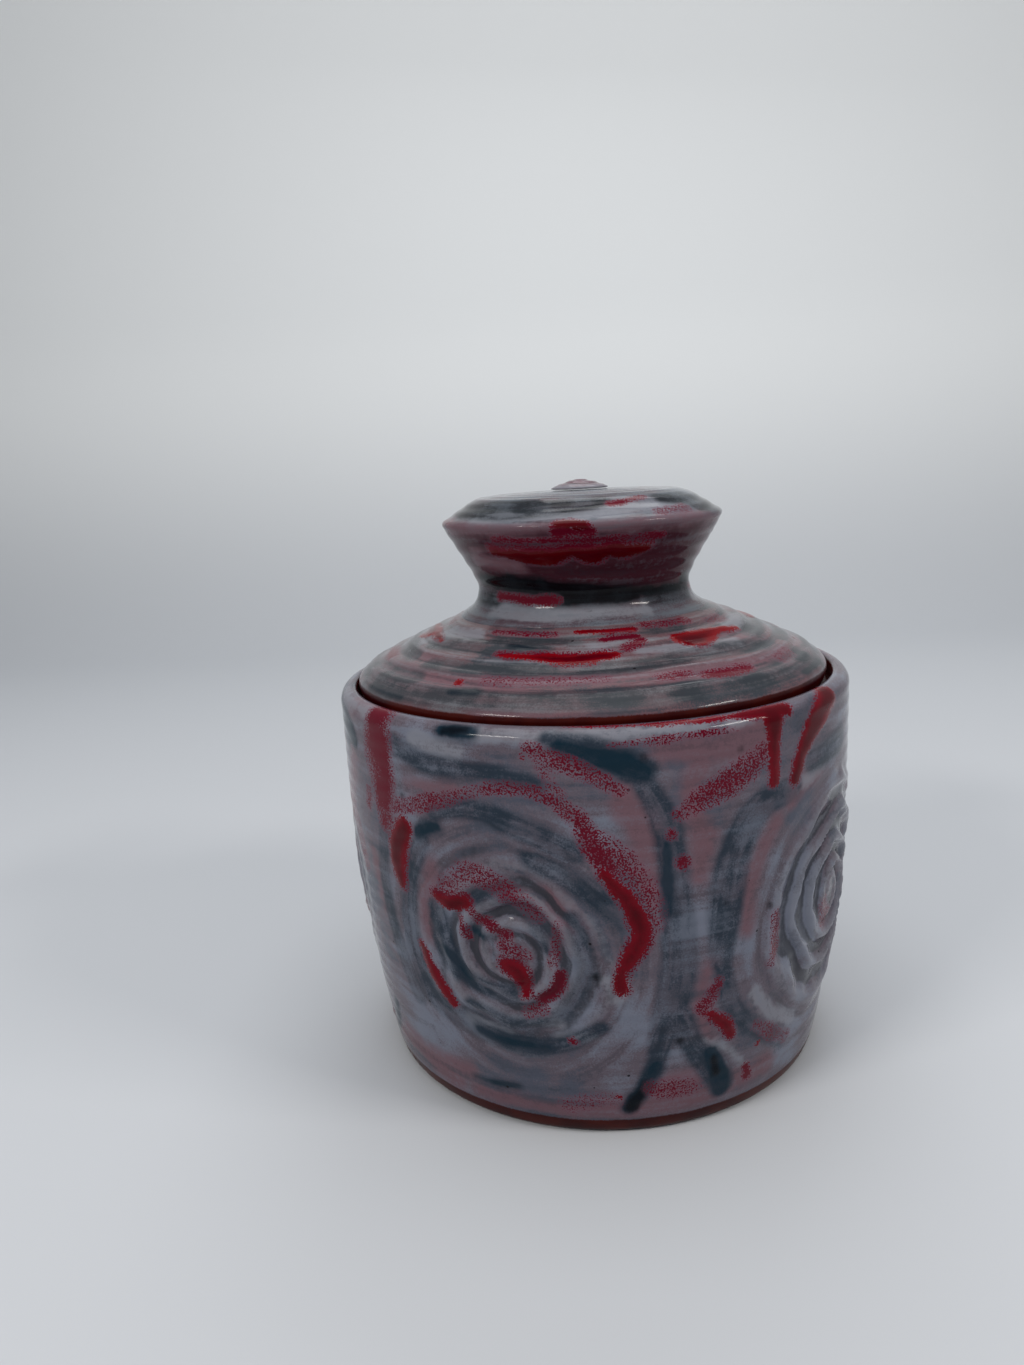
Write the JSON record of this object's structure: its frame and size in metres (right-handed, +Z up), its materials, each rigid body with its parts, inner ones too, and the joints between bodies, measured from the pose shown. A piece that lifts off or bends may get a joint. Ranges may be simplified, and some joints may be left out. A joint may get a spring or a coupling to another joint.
{
  "type": "cookie jar",
  "caption": "Hand-thrown glazed clay jar with straight sides, slip spirals on its wall, an inset domed lid and a wide flared knob.",
  "frame": {"origin": "middle of the foot, on the surface the jar stands on", "axes": "+Z up the turning axis, -Y towards the side seen in the picture"},
  "size_m": [0.1785, 0.1793, 0.1989],
  "materials": {
    "jar_body": "glossy mottled blue-grey and pink glaze with red runs, bare red clay at the foot and inside the gallery",
    "slip": "thick pale slip under the same glossy glaze",
    "lid_dome": "glossy glaze brushed in rings, bare red clay under the lip",
    "lid_knob": "glossy dusty red glaze, pale on the shoulder",
    "knob_button": "glossy glaze, thin at the edge"
  },
  "bodies": {
    "jar": {"jar_body": "jar_body", "slip_swirl_1": "slip", "slip_swirl_2": "slip", "slip_swirl_3": "slip", "slip_swirl_4": "slip", "slip_swirl_5": "slip"},
    "lid": {"lid_dome": "lid_dome", "lid_knob": "lid_knob", "knob_button": "knob_button"}
  },
  "joints": [
    {"name": "lid_lift", "type": "slide", "parent": "jar", "child": "lid", "axis": [0, 0, 1], "range_m": [0, 0.15]}
  ]
}
